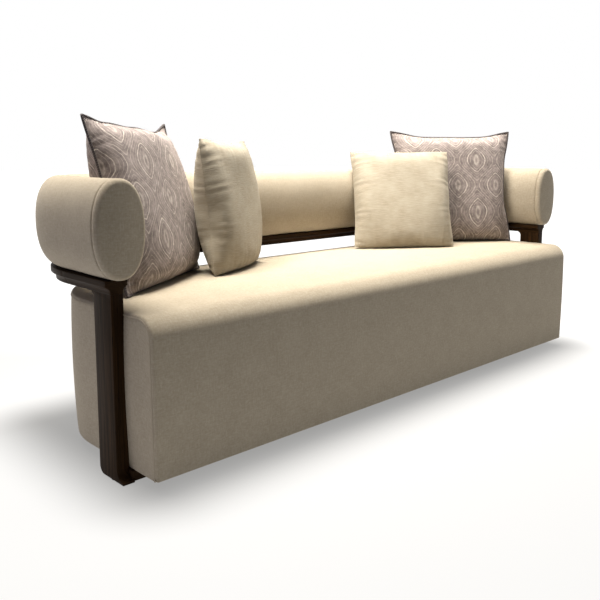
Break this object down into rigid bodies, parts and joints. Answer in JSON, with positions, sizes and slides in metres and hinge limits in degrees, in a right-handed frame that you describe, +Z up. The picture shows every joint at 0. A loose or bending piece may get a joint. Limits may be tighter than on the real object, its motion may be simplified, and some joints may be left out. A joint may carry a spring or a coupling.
{
  "type": "three-seater sofa",
  "caption": "Upholstered sofa with a block seat, a dark wooden rail on posts, a round padded roll for arms and back, and loose scatter cushions.",
  "frame": {"origin": "on the floor, at the middle of the sofa's length and depth", "axes": "+X to the right of someone looking at its front, along its length; +Y to its back; +Z up"},
  "size_m": [2.257, 0.7144, 0.9459],
  "materials": {
    "dark_wood": "satin",
    "inner_wood": "matte",
    "zinc_steel": "satin",
    "glide_plastic": "matte",
    "black_lining": "matte",
    "webbing": "matte",
    "foam": "matte",
    "sofa_fabric": "matte",
    "cream_fabric": "matte",
    "patterned_fabric": "matte",
    "dark_piping": "matte",
    "fibre_filling": "matte"
  },
  "bodies": {
    "sofa": {"side_post_left": "dark_wood", "side_post_right": "dark_wood", "rear_post_left": "dark_wood", "rear_post_right": "dark_wood", "arm_rail_left": "dark_wood", "arm_rail_right": "dark_wood", "corner_rail_left": "dark_wood", "corner_rail_right": "dark_wood", "back_rail": "dark_wood", "rail_dowels": "inner_wood", "front_board": "inner_wood", "end_board_left": "inner_wood", "end_board_right": "inner_wood", "rear_board": "inner_wood", "divider_boards": "inner_wood", "base_panel": "inner_wood", "roll_board_left": "inner_wood", "roll_board_right": "inner_wood", "roll_board_back": "inner_wood", "post_screws": "zinc_steel", "foot_bolts": "zinc_steel", "tee_nuts": "zinc_steel", "roll_screws": "zinc_steel", "floor_glides": "glide_plastic", "dust_cover": "black_lining", "webbing_straps": "webbing", "seat_foam": "foam", "front_padding": "foam", "end_padding_left": "foam", "end_padding_right": "foam", "rear_padding": "foam", "roll_foam_arm_left": "foam", "roll_foam_arm_right": "foam", "roll_foam_corner_left": "foam", "roll_foam_corner_right": "foam", "roll_foam_back": "foam", "seat_top_cover": "sofa_fabric", "end_panel_left": "sofa_fabric", "end_panel_right": "sofa_fabric", "rear_panel": "sofa_fabric", "end_welt_left": "sofa_fabric", "end_welt_right": "sofa_fabric", "roll_cover": "sofa_fabric", "roll_end_cap_left": "sofa_fabric", "roll_end_cap_right": "sofa_fabric"},
    "scatter_left": {"scatter_left_front": "patterned_fabric", "scatter_left_back": "patterned_fabric", "scatter_left_filling": "fibre_filling", "scatter_left_piping": "dark_piping"},
    "plain_left": {"plain_left_front": "cream_fabric", "plain_left_back": "cream_fabric", "plain_left_filling": "fibre_filling"},
    "plain_right": {"plain_right_front": "cream_fabric", "plain_right_back": "cream_fabric", "plain_right_filling": "fibre_filling"},
    "scatter_right": {"scatter_right_front": "patterned_fabric", "scatter_right_back": "patterned_fabric", "scatter_right_filling": "fibre_filling", "scatter_right_piping": "dark_piping"}
  },
  "joints": [
    {"name": "scatter_left_lift", "type": "slide", "parent": "sofa", "child": "scatter_left", "axis": [0, 0, 1], "range_m": [0, 0.55]},
    {"name": "plain_left_lift", "type": "slide", "parent": "sofa", "child": "plain_left", "axis": [0, 0, 1], "range_m": [0, 0.55]},
    {"name": "plain_right_lift", "type": "slide", "parent": "sofa", "child": "plain_right", "axis": [0, 0, 1], "range_m": [0, 0.55]},
    {"name": "scatter_right_lift", "type": "slide", "parent": "sofa", "child": "scatter_right", "axis": [0, 0, 1], "range_m": [0, 0.55]}
  ]
}
